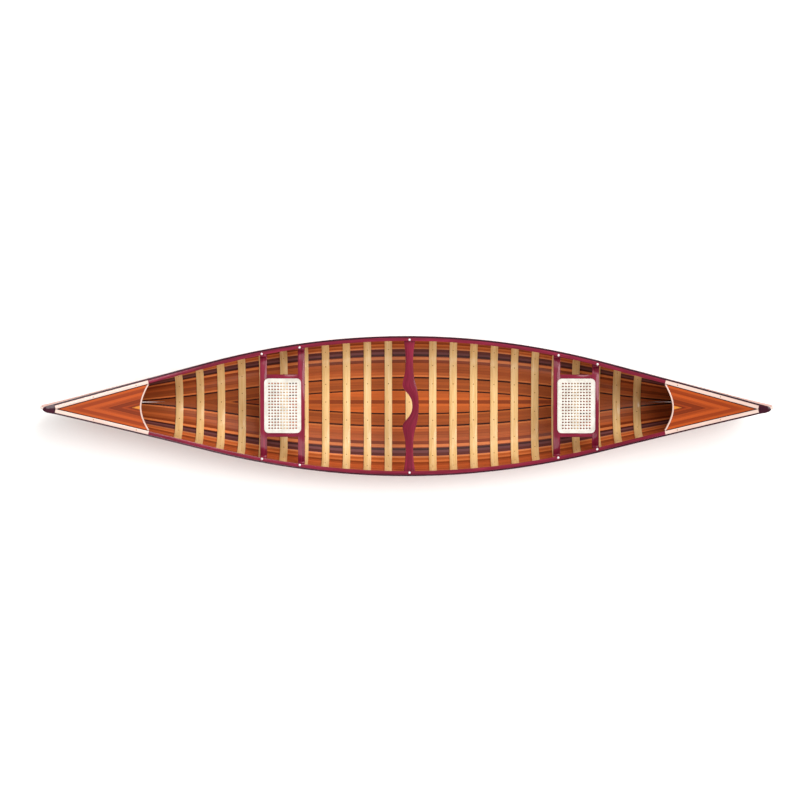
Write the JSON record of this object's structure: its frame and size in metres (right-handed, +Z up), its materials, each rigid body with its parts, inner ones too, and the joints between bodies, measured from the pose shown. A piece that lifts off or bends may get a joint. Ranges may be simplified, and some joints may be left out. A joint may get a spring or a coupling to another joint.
{
  "type": "cedar strip canoe",
  "caption": "Open double-ended cedar strip canoe with ribs, gunwales, decks, two hung cane seats and a carved portage yoke.",
  "frame": {"origin": "on the floor plane under the middle of the keel", "axes": "+X from the bow to the stern, +Z up, so the bow is at -X, port is -Y and starboard is +Y"},
  "size_m": [4.88, 0.9378, 0.645],
  "materials": {
    "feature_strips": "clear varnish over glass cloth, gloss",
    "cedar_side": "clear varnish over glass cloth, gloss",
    "cedar_bottom": "clear varnish over glass cloth, gloss",
    "dark_strake": "clear varnish over glass cloth, gloss",
    "pale_hardwood": "gloss varnish",
    "purple_hardwood": "gloss varnish",
    "rib_wood": "satin varnish",
    "cane": "woven cane, satin"
  },
  "bodies": {
    "root": {"sheer_planking_port": "feature_strips", "sheer_planking_starboard": "feature_strips", "side_planking_port": "cedar_side", "side_planking_starboard": "cedar_side", "bilge_strake_port": "dark_strake", "bilge_strake_starboard": "dark_strake", "lower_planking_port": "cedar_bottom", "lower_planking_starboard": "cedar_bottom", "centre_planking": "cedar_bottom", "bow_stem": "pale_hardwood", "stern_stem": "pale_hardwood", "inwale_port": "purple_hardwood", "inwale_starboard": "purple_hardwood", "outwale_port": "purple_hardwood", "outwale_starboard": "purple_hardwood", "rib_01": "rib_wood", "rib_02": "rib_wood", "rib_03": "rib_wood", "rib_04": "rib_wood", "rib_05": "rib_wood", "rib_06": "rib_wood", "rib_07": "rib_wood", "rib_08": "rib_wood", "rib_09": "rib_wood", "rib_10": "rib_wood", "rib_11": "rib_wood", "rib_12": "rib_wood", "rib_13": "rib_wood", "rib_14": "rib_wood", "rib_15": "rib_wood", "rib_16": "rib_wood", "rib_17": "rib_wood", "rib_18": "rib_wood", "rib_19": "rib_wood", "rib_20": "rib_wood", "rib_21": "rib_wood", "rib_22": "rib_wood", "rib_23": "rib_wood", "bow_deck_panel": "cedar_side", "bow_deck_border_port": "pale_hardwood", "bow_deck_border_starboard": "pale_hardwood", "bow_deck_coaming": "pale_hardwood", "bow_deck_tip_cap": "purple_hardwood", "stern_deck_panel": "cedar_side", "stern_deck_border_port": "pale_hardwood", "stern_deck_border_starboard": "pale_hardwood", "stern_deck_coaming": "pale_hardwood", "stern_deck_tip_cap": "purple_hardwood", "bow_seat_crossbar_fore": "purple_hardwood", "bow_seat_crossbar_aft": "purple_hardwood", "bow_seat_rail_port": "purple_hardwood", "bow_seat_rail_starboard": "purple_hardwood", "bow_seat_cane": "cane", "stern_seat_crossbar_fore": "purple_hardwood", "stern_seat_crossbar_aft": "purple_hardwood", "stern_seat_rail_port": "purple_hardwood", "stern_seat_rail_starboard": "purple_hardwood", "stern_seat_cane": "cane", "yoke": "purple_hardwood"}
  },
  "joints": []
}
